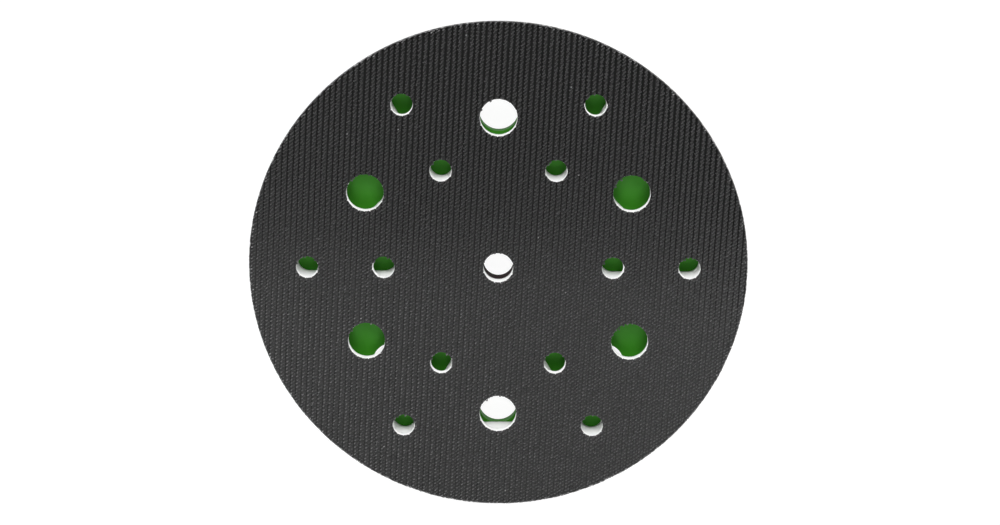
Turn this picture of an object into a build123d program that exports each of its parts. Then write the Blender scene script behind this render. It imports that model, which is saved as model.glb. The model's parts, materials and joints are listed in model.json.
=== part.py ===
from build123d import *
from math import cos, radians, tan
import os

# Sanding pad of a 150 mm orbital sander: a hook sheet, a cushion foam with moulded dust channels,
# a rigid backing plate and the steel insert of its hub. Millimetres, +Z up. The pad lies on the
# machine side of its plate, hook face up; the origin is on the pad's axis at its lowest plane.

# ---- Driving sizes ---------------------------------------------------------------------------

# Outline and layers
pad_diameter = 150.0            # hook face
hook_sheet_thickness = 1.6      # woven base and hooks together
foam_thickness = 9.0
plate_thickness = 3.9
back_wall_height = 3.5          # rings and hub wall that stand on the plate's machine side

# Dust holes through hook sheet and foam: three circles of six, each a row pitch apart
dust_holes_per_circle = 6
outer_hole_margin = 17.5        # from the outer hole circle to the pad's edge
hole_row_pitch = 11.5
large_hole_diameter = 11.2
small_hole_diameter = 6.6
centre_hole_diameter = 9.0      # the insert's bore carried on through foam and hook sheet

# Channels moulded in the foam's machine side, closed by the plate
large_hole_web = 4.0            # hook sheet and foam left over the ring channel
small_hole_web = 3.15           # hook sheet and foam left over the radial channels
ring_channel_sides = 8
ring_channel_inset = 0.3        # its outer flats stop this far short of the ports' outer edges
ring_channel_margin = 1.7       # its inner flats lie this far inside the ports' inner edges
radial_channel_clearance = 0.5  # each side of a small hole

# Dust ports through the plate
port_count = 8
port_diameter = 12.0
port_chamfer = 0.5              # at each port's machine-side mouth

# Foam and plate edges
plate_inset = 4.5               # plate's edge, inside the hook face's edge
foam_overhang = 0.5             # foam's foot, outside the plate's edge
foam_wall_hollow = 0.8          # depth of the outer wall's concave curve
plate_edge_radius = 1.0

# Hub: boss of the plate in the foam, steel insert in the boss, spindle recess behind it
hub_web = 5.1                   # hook sheet and foam left over the hub
insert_length = 5.2
insert_bore_diameter = 9.0      # medium clearance for an M8 screw
insert_bore_chamfer = 0.3
insert_land_diameter = 20.0     # raised seat for the spindle, under the flange
insert_land_height = 0.5
insert_bush_diameter = 16.0
insert_flange_thickness = 2.2
insert_flange_lap = 2.0         # flange beyond the recess, on each flat
insert_groove_depth = 0.8
insert_groove_width = 1.2
recess_across_flats = 22.0
recess_corner_radius = 1.5
recess_lead_in = 0.8
boss_wall = 2.2                 # nylon outside the flange's corners
boss_draft_angle = 8.0
hub_wall = 4.0                  # outside the recess's corners, on the machine side

# Rings and ribs on the machine side
seal_ring_gap = 2.2             # from the ports to the ring on each side of them
seal_ring_thickness = 2.5
rib_thickness = 2.0
rib_drop = 0.6                  # ribs end this far short of the rings
wall_draft_angle = 2.0

# ---- Sizes that follow -----------------------------------------------------------------------

pad_radius = pad_diameter / 2
outer_hole_radius = pad_radius - outer_hole_margin
large_hole_radius = outer_hole_radius - hole_row_pitch
inner_hole_radius = large_hole_radius - hole_row_pitch
port_circle_radius = large_hole_radius
port_radius = port_diameter / 2

plate_back = back_wall_height
plate_front = plate_back + plate_thickness
foam_top = plate_front + foam_thickness
hook_face = foam_top + hook_sheet_thickness

ring_channel_top = hook_face - large_hole_web
radial_channel_top = hook_face - small_hole_web
ring_channel_outer = port_circle_radius + port_radius - ring_channel_inset
ring_channel_inner = port_circle_radius - port_radius - ring_channel_margin
radial_channel_width = small_hole_diameter + 2 * radial_channel_clearance

plate_radius = pad_radius - plate_inset
foam_foot_radius = plate_radius + foam_overhang

insert_top = hook_face - hub_web
insert_seat = insert_top - insert_length
flange_across_flats = recess_across_flats + 2 * insert_flange_lap
flange_corner_radius = flange_across_flats / 2 / cos(radians(30))
recess_corner_reach = recess_across_flats / 2 / cos(radians(30))
boss_top_radius = flange_corner_radius + boss_wall
boss_height = insert_top - plate_front
boss_foot_radius = boss_top_radius + boss_height * tan(radians(boss_draft_angle))
hub_wall_radius = recess_corner_reach + hub_wall

inner_ring_outer = port_circle_radius - port_radius - seal_ring_gap
inner_ring_inner = inner_ring_outer - seal_ring_thickness
outer_ring_inner = port_circle_radius + port_radius + seal_ring_gap
outer_ring_outer = outer_ring_inner + seal_ring_thickness

above = hook_face + 1           # cutting tools start and end clear of the solids
below = -1
wall_lean = plate_back * tan(radians(wall_draft_angle))


# ---- Shared forms ----------------------------------------------------------------------------

def upright(sketch, low, high):
    """The sketch as a prism from height low to height high."""
    return extrude(Pos(0, 0, low) * sketch, high - low)


def round_pattern(shape, count, radius, start_angle=0.0):
    """Copies of the shape, evenly spaced on a circle round the pad's axis and turned with it."""
    return [place * shape for place in PolarLocations(radius, count, start_angle)]


def turned(*outline):
    """A solid of revolution from (radius, height) corners."""
    return revolve(Plane.XZ * make_face(Polyline(*outline, close=True)), Axis.Z)


def dust_hole_sketch():
    """All the holes that pass through both the hook sheet and the foam."""
    half_step = 180 / dust_holes_per_circle
    small = Circle(small_hole_diameter / 2)
    large = Circle(large_hole_diameter / 2)
    holes = Circle(centre_hole_diameter / 2)
    holes += round_pattern(small, dust_holes_per_circle, inner_hole_radius)
    holes += round_pattern(large, dust_holes_per_circle, large_hole_radius, half_step)
    holes += round_pattern(small, dust_holes_per_circle, outer_hole_radius)
    return holes


def octagon(apothem):
    """The ring channel's outline, with a flat facing each port."""
    half_side = 180 / ring_channel_sides
    return RegularPolygon(apothem, ring_channel_sides, major_radius=False, rotation=half_side)


def hexagon(across_flats):
    return RegularPolygon(across_flats / 2, 6, major_radius=False)


# ---- Hook sheet ------------------------------------------------------------------------------

def make_hook_sheet():
    """Disc of hook fabric, bonded to the foam and punched with the dust holes."""
    return upright(Circle(pad_radius) - dust_hole_sketch(), foam_top, hook_face)


# ---- Cushion foam ----------------------------------------------------------------------------

def foam_blank():
    """The turned outline: full size under the hook sheet, hollowed in to the plate's edge."""
    mid_radius = (pad_radius + foam_foot_radius) / 2 - foam_wall_hollow
    mid_height = (plate_front + foam_top) / 2
    wall = ThreePointArc(
        (foam_foot_radius, plate_front), (mid_radius, mid_height), (pad_radius, foam_top)
    )
    rest = Polyline((pad_radius, foam_top), (0, foam_top), (0, plate_front), wall @ 0)
    return revolve(Plane.XZ * make_face(wall + rest), Axis.Z)


def channel_tool():
    """What the mould leaves open: an eight-sided ring over the ports, crossed by six slots.

    Each slot ends in a half round about an inner and an outer small hole, so dust from those
    holes reaches the ring, and from there the nearest port.
    """
    ring_sketch = octagon(ring_channel_outer) - octagon(ring_channel_inner)
    ring = upright(ring_sketch, plate_front, ring_channel_top)
    slot_length = outer_hole_radius - inner_hole_radius
    slot = SlotCenterToCenter(slot_length, radial_channel_width)
    slots = Sketch() + round_pattern(slot, dust_holes_per_circle, large_hole_radius)
    return ring + upright(slots, plate_front, radial_channel_top)


def hub_boss():
    """The plate's boss that stands in the foam."""
    return turned(
        (0, plate_front),
        (boss_foot_radius, plate_front),
        (boss_top_radius, insert_top),
        (0, insert_top),
    )


def make_foam_pad():
    holes = upright(dust_hole_sketch(), below, above)
    return foam_blank() - channel_tool() - hub_boss() - holes


# ---- Hub insert ------------------------------------------------------------------------------

def insert_body():
    """The steel insert without its bore: a grooved bush on a six-sided flange with a round land."""
    bush_radius = insert_bush_diameter / 2
    flange_low = insert_seat + insert_land_height
    flange_top = flange_low + insert_flange_thickness
    groove_low = (flange_top + insert_top - insert_groove_width) / 2
    groove_high = groove_low + insert_groove_width
    bush = turned(
        (0, flange_top),
        (bush_radius, flange_top),
        (bush_radius, groove_low),
        (bush_radius - insert_groove_depth, groove_low),
        (bush_radius - insert_groove_depth, groove_high),
        (bush_radius, groove_high),
        (bush_radius, insert_top),
        (0, insert_top),
    )
    land = upright(Circle(insert_land_diameter / 2), insert_seat, flange_low)
    return land + upright(hexagon(flange_across_flats), flange_low, flange_top) + bush


def make_hub_insert():
    bore_radius = insert_bore_diameter / 2
    bore = turned(
        (0, below),
        (bore_radius + insert_bore_chamfer, below),
        (bore_radius + insert_bore_chamfer, insert_seat),
        (bore_radius, insert_seat + insert_bore_chamfer),
        (bore_radius, above),
        (0, above),
    )
    return insert_body() - bore


# ---- Backing plate ---------------------------------------------------------------------------

def seal_ring(inner, outer):
    """A ring wall on the machine side, thinner at its free edge."""
    return turned(
        (inner, plate_back),
        (inner + wall_lean, 0),
        (outer - wall_lean, 0),
        (outer, plate_back),
    )


def hub_wall_blank():
    """The wall round the spindle recess, still solid."""
    return turned(
        (0, plate_back),
        (0, 0),
        (hub_wall_radius - wall_lean, 0),
        (hub_wall_radius, plate_back),
    )


def port_tool():
    """A dust port with the chamfer at its machine-side mouth."""
    return turned(
        (0, below),
        (port_radius + port_chamfer, below),
        (port_radius + port_chamfer, plate_back),
        (port_radius, plate_back + port_chamfer),
        (port_radius, above),
        (0, above),
    )


def rib_set(count, start_angle, start_radius, end_radius):
    """Radial ribs on the machine side, each sunk into the walls at its two ends."""
    length = end_radius - start_radius
    foot = Pos(0, 0, plate_back) * Rectangle(length, rib_thickness)
    rib = extrude(foot, -(plate_back - rib_drop), taper=wall_draft_angle)
    return round_pattern(rib, count, (start_radius + end_radius) / 2, start_angle)


def plate_disc():
    """The disc, with its machine-side edge rounded."""
    disc = upright(Circle(plate_radius), plate_back, plate_front)
    return fillet(disc.edges().filter_by(GeomType.CIRCLE).sort_by(Axis.Z)[0], plate_edge_radius)


def spindle_recess():
    """Six-sided recess for the spindle, up to the insert's seat, with a lead-in at its mouth."""
    outline = hexagon(recess_across_flats)
    outline = fillet(outline.vertices(), recess_corner_radius)
    lead_in = extrude(offset(outline, recess_lead_in), recess_lead_in, taper=45)
    return upright(outline, below, insert_seat) + lead_in


def make_backing_plate():
    """Disc, hub and rings, stiffened by long ribs between the ports and short ones facing them."""
    plate = plate_disc() + hub_boss() + hub_wall_blank()
    plate += seal_ring(inner_ring_inner, inner_ring_outer)
    plate += seal_ring(outer_ring_inner, outer_ring_outer)
    rib_start = hub_wall_radius - hub_wall / 2
    ring_middle = seal_ring_thickness / 2
    plate += rib_set(port_count, 180 / port_count, rib_start, outer_ring_inner + ring_middle)
    plate += rib_set(port_count, 0, rib_start, inner_ring_inner + ring_middle)
    plate -= round_pattern(port_tool(), port_count, port_circle_radius)
    return plate - spindle_recess() - insert_body()


# ---- Export ----------------------------------------------------------------------------------

pieces = {
    "hook_sheet": make_hook_sheet(),
    "foam_pad": make_foam_pad(),
    "backing_plate": make_backing_plate(),
    "hub_insert": make_hub_insert(),
}

os.makedirs("parts", exist_ok=True)
for node, piece in pieces.items():
    export_step(piece, f"parts/{node}.step")
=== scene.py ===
import json
import math

import bmesh
import bpy
import numpy as np
from mathutils import Matrix, Vector, noise
from mathutils.geometry import delaunay_2d_cdt


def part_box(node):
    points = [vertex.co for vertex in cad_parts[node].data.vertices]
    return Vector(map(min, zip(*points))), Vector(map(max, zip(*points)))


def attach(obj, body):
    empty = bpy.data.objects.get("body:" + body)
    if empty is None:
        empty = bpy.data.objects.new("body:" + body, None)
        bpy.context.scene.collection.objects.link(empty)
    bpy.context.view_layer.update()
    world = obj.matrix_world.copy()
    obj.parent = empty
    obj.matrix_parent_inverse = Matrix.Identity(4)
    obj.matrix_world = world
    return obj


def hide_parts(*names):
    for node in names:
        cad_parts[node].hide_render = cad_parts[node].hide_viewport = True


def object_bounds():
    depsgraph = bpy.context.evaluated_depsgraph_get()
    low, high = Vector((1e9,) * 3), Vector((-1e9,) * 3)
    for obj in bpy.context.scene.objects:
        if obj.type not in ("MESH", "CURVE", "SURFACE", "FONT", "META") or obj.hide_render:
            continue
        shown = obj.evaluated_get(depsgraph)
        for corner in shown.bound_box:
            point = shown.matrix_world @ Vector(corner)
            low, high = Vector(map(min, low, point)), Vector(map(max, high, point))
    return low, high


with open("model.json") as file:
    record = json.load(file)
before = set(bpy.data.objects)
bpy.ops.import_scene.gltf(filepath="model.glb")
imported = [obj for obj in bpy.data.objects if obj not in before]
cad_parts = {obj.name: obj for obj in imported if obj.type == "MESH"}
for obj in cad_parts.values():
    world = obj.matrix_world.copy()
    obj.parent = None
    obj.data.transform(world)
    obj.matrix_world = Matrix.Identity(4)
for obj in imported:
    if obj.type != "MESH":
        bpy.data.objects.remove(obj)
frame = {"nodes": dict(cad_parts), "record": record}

# Sanding pad of an orbital sander, hook face up: a woven base set with cut hooks, a moulded foam
# with dust channels, a green nylon backing plate and a steel hub insert. Metres, in the CAD frame.

MM = 0.001
SEED = 7
CAD_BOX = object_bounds()

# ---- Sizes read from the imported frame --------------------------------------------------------

sheet_low, sheet_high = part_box("hook_sheet")
pad_radius = (sheet_high[0] - sheet_low[0]) / 2
foam_top = sheet_low[2]
foam_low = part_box("foam_pad")[0][2]
hook_face = sheet_high[2]
floor_height = CAD_BOX[0][2]

dims = {mount["name"]: mount["dims"] for mount in frame["record"]["mounts"]}
large_count = dims["large_hole_circle"]["count"]
large_circle = dims["large_hole_circle"]["pcd_mm"] * MM / 2
large_radius = dims["large_hole_circle"]["hole_r_mm"] * MM
inner_circle = dims["inner_hole_circle"]["pcd_mm"] * MM / 2
outer_circle = dims["outer_hole_circle"]["pcd_mm"] * MM / 2
small_radius = dims["inner_hole_circle"]["hole_r_mm"] * MM
centre_radius = dims["hub_bore"]["r_mm"] * MM


def dust_holes():
    """(x, y, radius) of every hole through the hook sheet."""
    holes = [(0.0, 0.0, centre_radius)]
    for k in range(large_count):
        turn = 2 * math.pi * k / large_count
        half = math.pi / large_count
        for circle, radius, angle in (
            (inner_circle, small_radius, turn),
            (large_circle, large_radius, turn + half),
            (outer_circle, small_radius, turn),
        ):
            holes.append((circle * math.cos(angle), circle * math.sin(angle), radius))
    return holes


HOLES = dust_holes()
within_rim = pad_radius - 2 * MM      # this radius parts the rim from what lies within it
outer_wall = pad_radius - 6 * MM      # the foam's outer wall lies outside this radius

# ---- The weave: columns that run up the face, with a pair of hooks at each pick --------------

column_pitch = 1.674 * MM
pick_pitch = 1.135 * MM
column_lean = math.radians(3.15)      # tops of the columns lean to +X
column_across = np.array((math.cos(column_lean), -math.sin(column_lean)))
column_along = np.array((math.sin(column_lean), math.cos(column_lean)))

base_thickness = 0.45 * MM
base_top = foam_top + base_thickness
hook_height = hook_face - base_top
filament_radius = 0.145 * MM
hook_bearing = math.radians(41)       # the crooks point about this far from +X towards +Y
cut_recess = 0.46 * MM                # a hole's edge stands back up to this between two columns


# ---- Small helpers ---------------------------------------------------------------------------

def new_object(name, data):
    obj = bpy.data.objects.new(name, data)
    bpy.context.scene.collection.objects.link(obj)
    return obj


def mesh_from_arrays(name, points, *kinds, smooth=True):
    """A mesh from numpy arrays: its points, then one array of faces for each number of corners."""
    mesh = bpy.data.meshes.new(name)
    corners = np.concatenate([faces.ravel() for faces in kinds])
    sizes = np.concatenate([np.full(len(faces), faces.shape[1]) for faces in kinds])
    mesh.vertices.add(len(points))
    mesh.vertices.foreach_set("co", points.astype(np.float32).ravel())
    mesh.loops.add(len(corners))
    mesh.loops.foreach_set("vertex_index", corners.astype(np.int32))
    mesh.polygons.add(len(sizes))
    mesh.polygons.foreach_set("loop_start", (np.cumsum(sizes) - sizes).astype(np.int32))
    mesh.update(calc_edges=True)
    mesh.polygons.foreach_set("use_smooth", np.full(len(sizes), smooth))
    mesh.validate()
    return mesh


def add_attribute(mesh, name, values):
    """A number at each point, which a material reads by its name."""
    layer = mesh.attributes.new(name, "FLOAT", "POINT")
    layer.data.foreach_set("value", values.astype(np.float32))


def whole_numbers(reach):
    return np.arange(-reach, reach + 1)


def nearest_rim(points):
    """Distance from each (x, y) to the nearest cut edge of the sheet, positive on the cloth."""
    distance = pad_radius - np.hypot(points[:, 0], points[:, 1])
    for x, y, radius in HOLES:
        distance = np.minimum(distance, np.hypot(points[:, 0] - x, points[:, 1] - y) - radius)
    return distance


def grey(level):
    return (level, level, level)


# ---- Materials -------------------------------------------------------------------------------

class Graph:
    """A short way to write the nodes of a material or a world."""

    def __init__(self, owner, output="ShaderNodeOutputMaterial"):
        owner.use_nodes = True
        self.owner = owner
        self.nodes = owner.node_tree.nodes
        self.links = owner.node_tree.links
        self.nodes.clear()
        self.output = self.nodes.new(output)

    def add(self, kind, inputs=None, **settings):
        node = self.nodes.new(kind)
        for key, value in settings.items():
            setattr(node, key, value)
        for key, value in (inputs or {}).items():
            if isinstance(value, bpy.types.NodeSocket):
                self.links.new(value, node.inputs[key])
            else:
                node.inputs[key].default_value = value
        return node

    def maths(self, operation, one, two):
        return self.add("ShaderNodeMath", {0: one, 1: two}, operation=operation).outputs[0]

    def place(self, scale=1.0):
        """Object coordinates, scaled."""
        at = self.add("ShaderNodeTexCoord").outputs["Object"]
        return self.add(
            "ShaderNodeVectorMath", {0: at, 1: (scale,) * 3}, operation="MULTIPLY"
        ).outputs[0]

    def attribute(self, name):
        return self.add("ShaderNodeAttribute", attribute_name=name).outputs["Fac"]

    def noise(self, scale, detail=3.0):
        return self.add(
            "ShaderNodeTexNoise",
            {"Vector": self.place(), "Scale": scale, "Detail": detail, "Roughness": 0.55},
        ).outputs["Fac"]

    def ramp(self, value, *stops):
        node = self.add("ShaderNodeValToRGB", {"Fac": value})
        elements = node.color_ramp.elements
        while len(elements) < len(stops):
            elements.new(0.5)
        for element, (position, colour) in zip(elements, stops):
            element.position = position
            element.color = (*colour, 1.0)
        return node.outputs["Color"]

    def bump(self, height, distance, strength, normal=None):
        inputs = {"Height": height, "Distance": distance, "Strength": strength}
        if normal is not None:
            inputs["Normal"] = normal
        return self.add("ShaderNodeBump", inputs).outputs["Normal"]

    def seen(self):
        """1 for a ray that the camera, a reflection or glass looks along, and 0 for any other."""
        path = self.add("ShaderNodeLightPath").outputs
        direct = self.maths("MAXIMUM", path["Is Camera Ray"], path["Is Glossy Ray"])
        return self.maths("MAXIMUM", direct, path["Is Transmission Ray"])

    def finish(self, shader):
        self.links.new(shader, self.output.inputs["Surface"])
        return self.owner

    def principled(self, inputs):
        return self.finish(self.add("ShaderNodeBsdfPrincipled", inputs).outputs[0])


def new_graph(name):
    return Graph(bpy.data.materials.new(name))


def nylon_plate_material():
    """Moulded nylon: slightly mottled green with a fine grain and faint flow marks."""
    g = new_graph("green_nylon")
    mottle = g.noise(90.0, 4.0)
    colour = g.ramp(mottle, (0.30, (0.036, 0.250, 0.008)), (0.72, (0.045, 0.290, 0.011)))
    grain = g.noise(2600.0, 2.0)
    flow = g.noise(260.0)
    rough = g.add("ShaderNodeMapRange", {"Value": flow, "To Min": 0.50, "To Max": 0.66})
    return g.principled({
        "Base Color": colour,
        "Roughness": rough.outputs[0],
        "Normal": g.bump(grain, 0.03 * MM, 0.5, g.bump(flow, 0.06 * MM, 0.35)),
        "Specular IOR Level": 0.24,
    })


def foam_material(name, tint, specular, roughness, sheen):
    """White foam, with cells and a coarser unevenness in its bump."""
    g = new_graph(name)
    cloud = g.noise(70.0, 4.0)
    colour = g.ramp(cloud, (0.25, tuple(0.985 * c for c in tint)), (0.75, tint))
    cells = g.add(
        "ShaderNodeTexVoronoi", {"Vector": g.place(), "Scale": 3200.0}, feature="SMOOTH_F1"
    ).outputs["Distance"]
    uneven = g.noise(900.0)
    return g.principled({
        "Base Color": colour,
        "Roughness": 0.85,
        "Diffuse Roughness": roughness,
        "Normal": g.bump(cells, 0.05 * MM, 0.5, g.bump(uneven, 0.05 * MM, 0.4)),
        "Specular IOR Level": specular,
        "Sheen Weight": sheen,
        "Sheen Roughness": 0.5,
    })


def steel_material():
    """Black-oxide steel, stained a little, with turning marks."""
    g = new_graph("insert_steel")
    stain = g.noise(420.0, 4.0)
    colour = g.ramp(stain, (0.3, (0.014, 0.005, 0.006)), (0.7, (0.024, 0.009, 0.010)))
    rough = g.add("ShaderNodeMapRange", {"Value": stain, "To Min": 0.62, "To Max": 0.80})
    turning = g.add(
        "ShaderNodeTexWave",
        {"Vector": g.place(), "Scale": 700.0, "Distortion": 1.5, "Detail": 1.0},
        bands_direction="Z",
    ).outputs["Fac"]
    return g.principled({
        "Base Color": colour,
        "Roughness": rough.outputs[0],
        "Specular IOR Level": 0.07,
        "Normal": g.bump(turning, 0.01 * MM, 0.5),
    })


def weave_material():
    """Ground cloth: paler columns of yarn, with painted shade in the dark gaps between them."""
    g = new_graph("hook_ground")
    fibre = g.noise(5200.0)
    turned = g.add(
        "ShaderNodeVectorRotate",
        {"Vector": g.place(1 / column_pitch), "Axis": (0, 0, 1), "Angle": column_lean},
        rotation_type="AXIS_ANGLE",
    ).outputs[0]
    across = g.add("ShaderNodeSeparateXYZ", {0: turned}).outputs["X"]
    off_middle = g.maths("PINGPONG", across, 0.5)
    inside = g.maths("SUBTRACT", g.attribute("band"), off_middle)
    column = g.add("ShaderNodeMapRange", {"Value": inside, "From Min": -0.05, "From Max": 0.07})
    # Painted shade: the gaps between the columns are near black, and the columns' yarn lighter.
    gap = g.ramp(fibre, (0.3, grey(0.008)), (0.75, grey(0.015)))
    yarn = g.ramp(fibre, (0.3, grey(0.046)), (0.75, grey(0.078)))
    # The yarn's colour is scaled by the painted light, paler towards -Y.
    painted_light_yarn = g.add(
        "ShaderNodeVectorMath", {0: yarn, "Scale": g.attribute("painted_light")}, operation="SCALE"
    ).outputs[0]
    colour = g.add("ShaderNodeMixRGB", {"Fac": column.outputs[0], "Color1": gap, "Color2": painted_light_yarn})
    return g.principled({
        "Base Color": colour.outputs[0],
        "Roughness": 0.85,
        "Specular IOR Level": 0.09,
        "Normal": g.bump(fibre, 0.03 * MM, 0.6),
    })


def sealed_edge_material():
    """Fused nylon: a dull, slightly paler line with the pale ends of cut yarns in it."""
    g = new_graph("sealed_edge")
    grain = g.noise(900.0, 4.0)
    colour = g.ramp(grain, (0.38, grey(0.050)), (0.54, grey(0.130)), (0.64, grey(0.55)))
    return g.principled({
        "Base Color": colour,
        "Roughness": 0.6,
        "Specular IOR Level": 0.3,
        "Normal": g.bump(grain, 0.05 * MM, 0.6),
    })


def hook_material():
    """Charcoal monofilament with a soft shine; each hook has a shade of its own, with painted light
    in it.
    """
    g = new_graph("hook_filament")
    # The shades carry painted light: darker feet, lighter crowns, paler towards -Y, glints at the
    # edge.
    shades = (0.0, grey(0.010)), (0.96, (0.220, 0.220, 0.221)), (1.0, grey(0.55))
    return g.principled({
        "Base Color": g.ramp(g.attribute("shade"), *shades),
        "Roughness": 0.45,
        "Specular IOR Level": 0.26,
    })


# ---- How the weave changes over the face: x and y in metres ----------------------------------

def pair_spread(x, y):
    """How far apart the two hooks of a pick stand: close in worn-in columns at +Y, even at -Y."""
    close, even = 0.36, 0.837         # millimetres
    worn_edge = 0.062 - 0.14 * np.minimum(x, 0) - 0.72 * np.maximum(x - 0.035, 0)
    down = np.clip((worn_edge - y) / 0.068, 0, 1)
    across = 0.86 + 0.14 * np.clip(x / 0.05 + 0.5, 0, 1)
    return (close + (even - close) * down * across) * MM


def painted_pick_light(side, x, y):
    """Painted light: a pick's left hook is lighter than its right one, most over the -X, -Y
    quarter.
    """
    quarter = np.clip(0.5 - x / 0.06, 0, 1) * np.clip((0.005 - y) / 0.02, 0, 1)
    return (1 + 0.07 * quarter) * (1 - side * (0.12 + 0.30 * quarter))


def painted_light_gradient(x, y):
    """Painted light: the face is painted paler over its -Y half and a little towards its two sides.
    """
    return (0.885 + 0.215 * np.tanh((0.003 - y) / 0.018)) * (1 + 0.13 * (x / 0.065) ** 2)


# ---- Woven base ------------------------------------------------------------------------------

rim_inset = 0.06 * MM                 # the cloth ends this far inside the pad's edge
rim_step, hole_step = 0.20 * MM, 0.12 * MM    # between the points of a cut edge
clear_edge = 0.42 * MM                # the weave's own points keep this far from a cut edge
pressed_width = 0.6 * MM              # the die presses the cloth down this far from its cut
under_gap = 0.005 * MM                # the cloth's underside stays this far off the foam
under_every = 17                      # one in so many of the weave's points makes the underside
fray_depth = 0.018 * MM
gap_sharpness = 14                    # the higher, the narrower the notch between two columns
yarn_half = 0.30 * MM                 # half the width of the yarn that a row of hooks stands in


def column_phase(points):
    """Which column each (x, y) is in: whole numbers on the columns, halves in the gaps."""
    return points @ column_across / column_pitch


def rim_loop(x, y, radius, spacing, rng, inward, recess):
    """Points round a cut edge, which the punch leaves uneven and pulled back between columns."""
    count = max(24, int(2 * math.pi * radius / spacing))
    angle = 2 * np.pi * np.arange(count) / count
    around = np.stack([np.cos(angle), np.sin(angle)], axis=1)
    phase = column_phase(np.array((x, y)) + radius * around)
    gap = np.clip(-np.cos(2 * np.pi * phase), 0, 1)
    pull = recess * (0.65 - 0.35 * inward * np.sin(angle)) * rng.uniform(0.2, 1.0, count)
    fray = np.abs(rng.normal(0, fray_depth, count)) + gap ** gap_sharpness * pull
    centre = np.array((x, y))
    return centre, centre + (radius + inward * fray)[:, None] * around


def filled(loops, inner, edges):
    """Triangles that fill the cloth between its cut edges, given the edges' loops and some points
    inside: all the points, the faces, and the place of each loop's point among the points."""
    rim = np.vstack([loop for _, loop in loops])
    made = delaunay_2d_cdt([Vector(p) for p in np.vstack([rim, inner])], edges, [], 0, 1e-7)
    points = np.array([tuple(v) for v in made[0]])
    faces = np.array([f for f in made[2] if len(f) == 3])
    place = np.full(len(rim), -1)
    for number, sources in enumerate(made[3]):
        for source in sources:
            if source < len(rim):
                place[source] = number
    middle = points[faces].mean(axis=1)
    on_cloth = np.ones(len(faces), bool)
    for number, (centre, loop) in enumerate(loops):
        reach = np.hypot(*(loop - centre).T)
        off = middle - centre
        turn = np.arctan2(off[:, 1], off[:, 0]) / (2 * np.pi) * len(loop)
        edge = np.interp(turn % len(loop), np.arange(len(loop) + 1), np.append(reach, reach[0]))
        beyond = np.hypot(*off.T) > edge
        on_cloth &= ~beyond if number == 0 else beyond
    faces = faces[on_cloth]
    one, two, three = points[faces].transpose(1, 0, 2)
    area = (two - one)[:, 0] * (three - one)[:, 1] - (two - one)[:, 1] * (three - one)[:, 0]
    faces[area < 0] = faces[area < 0][:, ::-1]
    return points, faces, place


def cloth_grid():
    """Points of the cloth between its cut edges: four to a column and two to a pick."""
    across = whole_numbers(int(pad_radius / column_pitch * 4) + 2) * column_pitch / 4
    along = whole_numbers(int(pad_radius / pick_pitch * 2) + 2) * pick_pitch / 2
    a, b = np.meshgrid(across, along, indexing="ij")
    grid = a.reshape(-1, 1) * column_across + b.reshape(-1, 1) * column_along
    return grid[nearest_rim(grid) > clear_edge]


def cloth_height(flat):
    """Height of the cloth's top: ribbed along the columns, rippled by the weft, low at its cuts."""
    rib_depth, weft_depth, pressed_depth = 0.17, 0.03, 0.05      # millimetres
    column, pick = column_phase(flat), flat @ column_along / pick_pitch
    rib = 0.5 + 0.5 * np.cos(2 * np.pi * column)
    weft = np.cos(2 * np.pi * pick) * np.sin(2 * np.pi * column)
    inside = np.clip(nearest_rim(flat) / pressed_width, 0, 1)
    return base_top - MM * (
        rib_depth * (1 - rib) * (0.3 + 0.7 * inside)
        + weft_depth * weft * inside
        + pressed_depth * (1 - inside)
    )


def woven_base():
    """The ground cloth: a thin closed sheet, ribbed along the columns, with cut edges."""
    rng = np.random.default_rng(SEED)
    loops = [rim_loop(0, 0, pad_radius - rim_inset, rim_step, rng, -1, cut_recess / 4)]
    loops += [rim_loop(x, y, radius, hole_step, rng, 1, cut_recess) for x, y, radius in HOLES]
    edges, start = [], 0
    for _, loop in loops:
        edges += [(start + k, start + (k + 1) % len(loop)) for k in range(len(loop))]
        start += len(loop)
    grid = cloth_grid()
    flat, top_faces, top_rim = filled(loops, grid, edges)
    under, low_faces, low_rim = filled(loops, grid[::under_every], edges)
    low = np.full(len(under), foam_top + under_gap)
    vertices = np.vstack([np.c_[flat, cloth_height(flat)], np.c_[under, low]])
    one, two = np.array(edges).T
    low_faces, low_rim = low_faces[:, ::-1] + len(flat), low_rim + len(flat)
    walls = np.c_[top_rim[two], top_rim[one], low_rim[one], low_rim[two]]
    mesh = mesh_from_arrays("hook_base", vertices, np.vstack([top_faces, low_faces]), walls)
    bm = bmesh.new()
    bm.from_mesh(mesh)
    bmesh.ops.recalc_face_normals(bm, faces=bm.faces)
    bm.to_mesh(mesh)
    bm.free()
    everywhere = np.vstack([flat, under])
    spread = pair_spread(*everywhere.T)
    band = (spread / 2 + yarn_half + 0.25 * (spread - spread.min())) / column_pitch
    add_attribute(mesh, "band", band)
    # Painted light: the cloth is painted paler towards -Y.
    add_attribute(mesh, "painted_light", painted_light_gradient(*everywhere.T))
    return new_object("hook_base", mesh)


def mark_soaked_walls(obj, material):
    """Gives the cut walls of the holes, which the foam has soaked into, the foam's own colour."""
    obj.data.materials.append(material)
    for face in obj.data.polygons:
        upright = abs(face.normal.z) < 0.3
        if upright and math.hypot(face.center.x, face.center.y) < within_rim:
            face.material_index = 1


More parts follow.
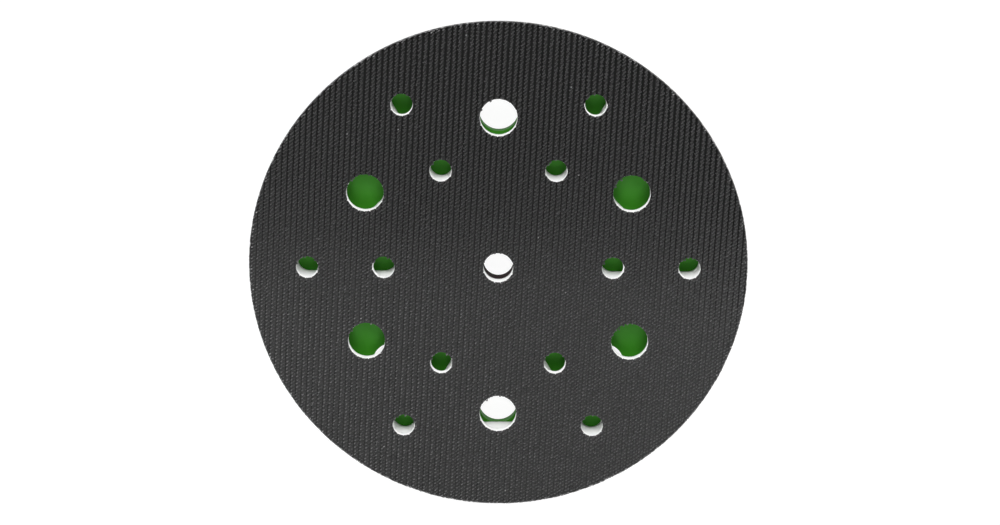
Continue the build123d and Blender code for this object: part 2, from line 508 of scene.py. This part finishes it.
def sealed_edge():
    """The sheet's die-cut rim, where the blade has fused the cloth and the roots of the hooks."""
    rng = np.random.default_rng(SEED + 1)
    step, waves = 0.4 * MM, 37
    count = int(2 * math.pi * pad_radius / step)
    turn = 2 * np.pi * np.arange(count) / count
    rise = base_top + MM * (0.55 + 0.08 * np.sin(waves * turn) + rng.normal(0, 0.05, count))
    outer = pad_radius - MM * np.clip(0.07 + rng.normal(0, 0.035, count), 0.01, 0.16)
    low = np.full(count, foam_top + 0.1 * MM)
    # Radius and height round the rim's section, from its outer foot over its top to its inner one.
    section = [
        (outer, low),
        (outer, rise - 0.10 * MM),
        (outer - 0.06 * MM, rise),
        (outer - 0.17 * MM, rise - 0.03 * MM),
        (outer - 0.24 * MM, rise - 0.20 * MM),
        (outer - 0.26 * MM, low),
    ]
    rings = [np.stack([r * np.cos(turn), r * np.sin(turn), z], axis=1) for r, z in section]
    points = np.stack(rings, axis=1)
    n = len(section)
    k, j = np.meshgrid(np.arange(count), np.arange(n), indexing="ij")
    k2, j2 = (k + 1) % count, (j + 1) % n
    quads = np.stack([k * n + j, k2 * n + j, k2 * n + j2, k * n + j2], axis=-1).reshape(-1, 4)
    return new_object("sealed_edge", mesh_from_arrays("sealed_edge", points.reshape(-1, 3), quads))


# ---- Hooks -----------------------------------------------------------------------------------

# A cut hook in its own plane: along its bearing, in millimetres, and up, as a share of its height.
# The crook is the long leg, bent over, and the stub is the short leg that the cut leaves standing
# under the crook's tip.
CROOK = np.array([
    (-0.20, 0.00), (-0.26, 0.34), (-0.25, 0.66), (-0.16, 0.90),
    (-0.01, 1.00), (0.13, 0.96), (0.24, 0.79), (0.26, 0.60),
])
STUB = np.array([(0.25, 0.00), (0.32, 0.22), (0.34, 0.40)])
SIDES = 5                             # of a filament

root_reach = 0.26 * MM                # from the middle of a hook back to its root
root_margin = 0.06 * MM               # a root keeps this far from a cut edge
rim_trim = 0.18 * MM                  # the hooks are trimmed this far inside the pad's edge
hole_trim = 0.07 * MM                 # and this far outside a hole's
glint_band = 0.9 * MM                 # hooks this close to the pad's edge may carry painted glints
droop_band = 0.8 * MM                 # the hooks this close to a hole's +Y rim droop into it
most_droop = 0.60 * MM                # at a hook's crown
root_depth = 0.12 * MM                # the legs start this far inside the cloth
headroom = 1.16 * filament_radius     # keeps the thickest filament under the hook face

# The columns wander: how far, over what length, and how far out of step with the next column.
WANDER = ((0.10 * MM, 9.5 * MM, 1.7), (0.05 * MM, 3.7 * MM, 0.9))

# Standard deviations from hook to hook.
shift_jitter, slip_jitter = 0.065 * MM, 0.08 * MM     # across the column and along it
bearing_jitter = math.radians(13)
size_jitter, rise_jitter, thickness_jitter = 0.06, 0.035, 0.05
lean_jitter = 0.09                    # millimetres at the crown

tone_mean, tone_spread = 0.4410, 0.0846
tone_low, tone_high = 0.14, 0.95
pale_share = 0.0008                   # of the hooks, whose crowns carry a pale speck
piece_count = 10


def hook_sites(rng):
    """Middle of each hook's crook on the face, and the painted light that its place gives it."""
    columns = int(pad_radius / column_pitch) + 3
    picks = int(pad_radius / pick_pitch) + 3
    i, k = np.meshgrid(whole_numbers(columns), whole_numbers(picks), indexing="ij")
    i, k = i.ravel().astype(float), k.ravel().astype(float)
    sites, tones = [], []
    for side, half in ((-1, 0.0), (1, 0.5)):
        a = i * column_pitch
        b = (k + half) * pick_pitch
        middle = a[:, None] * column_across + b[:, None] * column_along
        wave = sum(reach * np.sin(b / length + step * i) for reach, length, step in WANDER)
        spread = pair_spread(*middle.T)
        shift = side * spread / 2 + wave + rng.normal(0, shift_jitter, len(a))
        slip = rng.normal(0, slip_jitter, len(a))
        sites.append(middle + shift[:, None] * column_across + slip[:, None] * column_along)
        # The tones carry painted light: paler towards -Y, and a pick's left hook lighter than its
        # right.
        tones.append(painted_light_gradient(*middle.T) * painted_pick_light(side, *middle.T))
    sites, tones = np.vstack(sites), np.concatenate(tones)
    ahead = np.array((math.cos(hook_bearing), math.sin(hook_bearing))) * root_reach
    rooted = (nearest_rim(sites - ahead) > root_margin) & (nearest_rim(sites) > 0)
    return sites[rooted], tones[rooted]


def hole_beside(points):
    """Distance to the nearest hole's edge and the direction that leads to its middle."""
    gap = np.full(len(points), np.inf)
    towards = np.zeros((len(points), 2))
    for x, y, radius in HOLES:
        off = np.array((x, y)) - points[:, :2]
        reach = np.hypot(*off.T)
        nearer = reach - radius < gap
        gap[nearer] = reach[nearer] - radius
        towards[nearer] = off[nearer] / reach[nearer, None]
    return gap, towards


def cut_clean(points):
    """Trims what stands over a cut edge, except over a hole's +Y rim, and says which points it
    has cut."""
    reach = np.hypot(points[:, 0], points[:, 1])
    limit = pad_radius - rim_trim
    cut = reach > limit
    points[cut, :2] *= (limit / reach[cut])[:, None]
    for x, y, radius in HOLES:
        off = points[:, :2] - np.array((x, y))
        reach = np.hypot(*off.T)
        limit = radius + hole_trim
        over = (reach < limit) & (off[:, 1] < 0.35 * radius)
        points[over, :2] += off[over] * (limit / reach[over] - 1)[:, None]
        cut |= over
    return cut


def bent_tubes(line, thickness, across):
    """A tube of SIDES sides along each of the lines: points, side faces and end caps."""
    n, m = line.shape[:2]
    tangent = np.gradient(line, axis=1)
    tangent /= np.linalg.norm(tangent, axis=2, keepdims=True)
    side = np.zeros_like(line)
    side[:, :, :2] = across[:, None, :]
    side -= (side * tangent).sum(2, keepdims=True) * tangent
    side /= np.linalg.norm(side, axis=2, keepdims=True)
    other = np.cross(tangent, side)
    turn = 2 * np.pi * (np.arange(SIDES) + 0.25) / SIDES
    ring = line[:, :, None, :] + thickness[:, None, None, None] * (
        np.cos(turn)[None, None, :, None] * side[:, :, None, :]
        + np.sin(turn)[None, None, :, None] * other[:, :, None, :]
    )
    j, s = np.meshgrid(np.arange(m - 1) * SIDES, np.arange(SIDES), indexing="ij")
    t = (s + 1) % SIDES
    quads = np.stack([j + s, j + t, j + SIDES + t, j + SIDES + s], axis=-1)
    first = (np.arange(n) * m * SIDES)[:, None, None]
    quads = (quads.reshape(1, -1, 4) + first).reshape(-1, 4)
    caps = (m - 1) * SIDES + np.arange(SIDES)[None, :] + first[:, 0]
    return ring.reshape(-1, 3), quads, caps


def rim_glints(sites, rng):
    """Painted glints: pale shades on hooks along the pad's edge, most of them at +Y."""
    at_rim = pad_radius - np.hypot(*sites.T) < glint_band
    glinting = rng.random(len(sites)) < 0.45 + 0.25 * sites[:, 1] / pad_radius
    return np.where(at_rim & glinting, rng.uniform(0.86, 1.0, len(sites)), 0)


def hooks_at(sites, tones, glints, rng):
    """Points, side faces, caps and shades of a crook and its stub at each site."""
    n = len(sites)
    bearing = hook_bearing + rng.normal(0, bearing_jitter, n)
    size = rng.normal(1.0, size_jitter, n)
    rise = np.clip(rng.normal(0.96, rise_jitter, n), 0.84, 1.0)
    lean = rng.normal(0, lean_jitter, n) * MM
    thickness = filament_radius * rng.normal(1.0, thickness_jitter, n)
    tone = np.clip(rng.normal(tone_mean, tone_spread, n) * tones, tone_low, tone_high)
    # Painted glints along the pad's edge.
    tone = np.maximum(tone, glints)
    pale = rng.random(n) < pale_share
    along = np.stack([np.cos(bearing), np.sin(bearing)], axis=1)
    across = np.stack([-np.sin(bearing), np.cos(bearing)], axis=1)
    root, top = base_top - root_depth, hook_height - headroom
    gap, towards = hole_beside(sites)
    may_droop = (gap < droop_band) & (towards[:, 1] < -0.2)
    droop = np.where(may_droop, most_droop * rng.random(n) ** 1.2, 0)
    found, count = [], 0
    for shape in (CROOK, STUB):
        m = len(shape)
        u = shape[:, 0] * size[:, None] * MM
        w = shape[:, 1] * rise[:, None]
        line = np.zeros((n, m, 3))
        line[:, :, :2] = sites[:, None, :] + u[:, :, None] * along[:, None, :]
        line[:, :, :2] += (lean[:, None] * w)[:, :, None] * across[:, None, :]
        line[:, :, :2] += (droop[:, None] * w ** 2)[:, :, None] * towards[:, None, :]
        line[:, :, 2] = root + w * (top + base_top - root)
        points, quads, caps = bent_tubes(line, thickness, across)
        cut = cut_clean(points)
        height = shape[:, 1]
        # Painted shade: a hook's foot is darker, as it lies in its neighbours' shade, and its crown
        # lighter.
        lit = 0.27 + 0.73 * np.clip((height - 0.42) / 0.5, 0, 1) ** 1.5
        crown = pale[:, None] & (height > 0.93)[None, :]
        shade = np.repeat(np.where(crown, 1.0, tone[:, None] * lit[None, :]).ravel(), SIDES)
        cut_shade = np.repeat(rng.uniform(0.3, 0.8, n), m * SIDES)
        shade = np.where(cut, np.maximum(shade, cut_shade), shade)
        found.append((points, quads + count, caps + count, shade))
        count += len(points)
    return [np.concatenate(parts) for parts in zip(*found)]


def bake_by_shade(mesh, shade):
    """A UV map that lays each face out by its shade, all that the filament's colour reads."""
    corners = np.empty(len(mesh.loops), np.int32)
    mesh.loops.foreach_get("vertex_index", corners)
    first = np.empty(len(mesh.polygons), np.int32)
    sizes = np.empty(len(mesh.polygons), np.int32)
    mesh.polygons.foreach_get("loop_start", first)
    mesh.polygons.foreach_get("loop_total", sizes)
    step = np.arange(len(corners)) - np.repeat(first, sizes)
    up = np.isin(step, (1, 2)).astype(float)
    layer = mesh.uv_layers.new(name="OFBake")
    layer.uv.foreach_set("vector", np.c_[shade[corners], up].astype(np.float32).ravel())


def make_hooks(material):
    """All the hooks, as pieces that follow each other from -Y to +Y."""
    rng = np.random.default_rng(SEED)
    sites, tones = hook_sites(rng)
    glints = rim_glints(sites, np.random.default_rng(SEED + 5))
    order = np.argsort(sites[:, 1])
    pieces = []
    for number, part in enumerate(np.array_split(order, piece_count), 1):
        points, quads, caps, shade = hooks_at(sites[part], tones[part], glints[part], rng)
        name = f"hooks_{number}"
        mesh = mesh_from_arrays(name, points, quads, caps)
        add_attribute(mesh, "shade", shade)
        bake_by_shade(mesh, shade)
        mesh.materials.append(material)
        pieces.append(new_object(name, mesh))
    return pieces


# ---- Foam ------------------------------------------------------------------------------------

longest_edge = 2.2 * MM               # longer edges are divided, at most three times
slot_swell = 0.42 * MM                # the foam swells this far into its slots under small holes
swell_reach = 9 * MM                  # no wall swells further than this from such a hole's middle
swell_fade = 2.5 * MM                 # and the swelling fades over the last of that distance


def divided_foam():
    """The CAD foam as a bmesh, with its long edges divided so that its walls can move."""
    bm = bmesh.new()
    bm.from_mesh(frame["nodes"]["foam_pad"].data)
    bmesh.ops.remove_doubles(bm, verts=bm.verts, dist=1e-6)
    bmesh.ops.recalc_face_normals(bm, faces=bm.faces)
    for _ in range(3):
        long_edges = [e for e in bm.edges if e.calc_length() > longest_edge]
        if not long_edges:
            break
        bmesh.ops.subdivide_edges(bm, edges=long_edges, cuts=1, use_grid_fill=False)
        bmesh.ops.triangulate(bm, faces=[f for f in bm.faces if len(f.verts) > 3])
    bm.normal_update()
    return bm


def make_foam():
    """The moulded foam on its CAD form: its outer wall isn't quite true, and its slots are a
    little swollen under the small holes."""
    bm = divided_foam()
    small_holes = [(x, y) for x, y, radius in HOLES if radius == small_radius]
    swell = {}
    for v in bm.verts:
        height = (v.co.z - foam_low) / (foam_top - foam_low)
        middle = 4 * height * (1 - height)
        outward = Vector((v.co.x, v.co.y, 0))
        if outward.length > outer_wall and 0.02 < height < 0.98:
            drift = noise.noise(v.co * 110) * 0.12 * MM + noise.noise(v.co * 420) * 0.05 * MM
            v.co += outward.normalized() * (drift - 0.06 * MM) * middle
        elif outward.length < outer_wall:
            into_slot = Vector((v.normal.x, v.normal.y, 0))
            nearest = min(math.hypot(v.co.x - x, v.co.y - y) for x, y in small_holes)
            near = min(1, max(0, (swell_reach - nearest) / swell_fade))
            share = near * min(1, (1 - height) / 0.5)
            if share and into_slot.length > 0.1:
                swell[v] = into_slot.normalized() * slot_swell * share
    for v, move in swell.items():
        v.co += move
    mesh = bpy.data.meshes.new("foam")
    bm.to_mesh(mesh)
    bm.free()
    obj = new_object("foam", mesh)
    mesh.polygons.foreach_set("use_smooth", np.full(len(mesh.polygons), True))
    return obj


def mark_cut_walls(obj):
    """Gives the foam within the rim the second material: the walls of the holes and channels,
    which have no moulded skin, and with them the hollow of the outer wall."""
    for face in obj.data.polygons:
        if math.hypot(face.center.x, face.center.y) < within_rim:
            face.material_index = 1


# ---- Build -----------------------------------------------------------------------------------

def set_material(obj, material):
    obj.data.materials.clear()
    obj.data.materials.append(material)


def smooth_by_angle(obj, degrees):
    bpy.context.view_layer.objects.active = obj
    for other in bpy.context.selected_objects:
        other.select_set(False)
    obj.select_set(True)
    bpy.ops.object.shade_smooth_by_angle(angle=math.radians(degrees))


set_material(frame["nodes"]["backing_plate"], nylon_plate_material())
set_material(frame["nodes"]["hub_insert"], steel_material())

foam = make_foam()
skin = foam_material(
    "foam_skin", tint=(0.955, 0.955, 0.945), specular=0.3, roughness=0.2, sheen=0.0
)
cells = foam_material(
    "foam_cells", tint=(0.98, 0.98, 0.975), specular=0.0, roughness=1.0, sheen=0.8
)
set_material(foam, skin)
foam.data.materials.append(cells)
mark_cut_walls(foam)
smooth_by_angle(foam, 35)
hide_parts("foam_pad")
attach(foam, "root")

base = woven_base()
set_material(base, weave_material())
mark_soaked_walls(base, cells)
smooth_by_angle(base, 50)
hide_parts("hook_sheet")
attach(base, "root")

edge = sealed_edge()
set_material(edge, sealed_edge_material())
hooks = make_hooks(hook_material())
for piece in [edge, *hooks]:
    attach(piece, "root")

# ---- Floor, light and camera -----------------------------------------------------------------

WHITE = (1, 1, 1, 1)
world_level = 0.08
lens_mm = 92.65
tilt, yaw, roll = math.radians(14.77), math.radians(-0.28), math.radians(-0.16)
eye = Vector((0.54, 1.915, 772.8)) * MM       # from the hook face's middle, in the camera's axes


def floor_material():
    """Pale floor: white to the camera, with the object's shadow kept as a light grey."""
    g = new_graph("pale_floor")
    plain = g.add("ShaderNodeBsdfDiffuse", {"Color": (*grey(0.4), 1)})
    faint = g.add("ShaderNodeBsdfDiffuse", {"Color": (*grey(0.14), 1)})
    glow = g.add("ShaderNodeEmission", {"Color": WHITE, "Strength": 0.95})
    white = g.add("ShaderNodeAddShader", {0: faint.outputs[0], 1: glow.outputs[0]})
    mix = g.add("ShaderNodeMixShader", {0: g.seen(), 1: plain.outputs[0], 2: white.outputs[0]})
    return g.finish(mix.outputs[0])


def make_floor():
    """A square floor, a hair under the object."""
    size = 3.0
    corners = [(-size, -size, 0), (size, -size, 0), (size, size, 0), (-size, size, 0)]
    square = np.array([[0, 1, 2, 3]])
    mesh = mesh_from_arrays("floor", np.array(corners, float), square, smooth=False)
    floor = new_object("floor", mesh)
    floor.location.z = floor_height - 0.02 * MM
    mesh.materials.append(floor_material())


def make_world(level):
    """Faint light from all round, and a white background."""
    world = bpy.data.worlds.new("studio")
    bpy.context.scene.world = world
    g = Graph(world, "ShaderNodeOutputWorld")
    soft = g.add("ShaderNodeBackground", {"Color": WHITE, "Strength": level})
    white = g.add("ShaderNodeBackground", {"Color": WHITE, "Strength": 1.0})
    mix = g.add("ShaderNodeMixShader", {0: g.seen(), 1: soft.outputs[0], 2: white.outputs[0]})
    g.finish(mix.outputs[0])


def softbox(name, location, size, power):
    """A square lamp that faces the pad."""
    light = bpy.data.lights.new(name, "AREA")
    light.shape = "SQUARE"
    light.size = size
    light.energy = power
    obj = new_object(name, light)
    obj.location = location
    aim = Vector((0, 0, 0)) - Vector(location)
    obj.rotation_euler = aim.to_track_quat("-Z", "Y").to_euler()


def make_camera():
    """Above the pad and a little to its +Y side, looking at the middle of the hook face."""
    turn = (
        Matrix.Rotation(tilt, 3, "X")
        @ Matrix.Rotation(yaw, 3, "Y")
        @ Matrix.Rotation(roll, 3, "Z")
    )
    data = bpy.data.cameras.new("camera")
    data.sensor_width = 36.0
    data.lens = lens_mm
    camera = new_object("camera", data)
    camera.matrix_world = (
        Matrix.Translation((0, 0, hook_face))
        @ turn.transposed().to_4x4()
        @ Matrix.Translation(eye)
    )
    bpy.context.scene.camera = camera


make_floor()
make_world(world_level)
softbox("front", location=(0.0, -0.272, 1.014), size=0.5, power=3.9)
softbox("fill", location=(0.0, 1.091, 1.170), size=1.1, power=23.8)
softbox("left", location=(-1.25, -0.70, 0.38), size=0.7, power=4.3)
softbox("right", location=(1.25, -0.70, 0.38), size=0.7, power=4.3)
make_camera()
bpy.context.scene.view_settings.view_transform = "Standard"
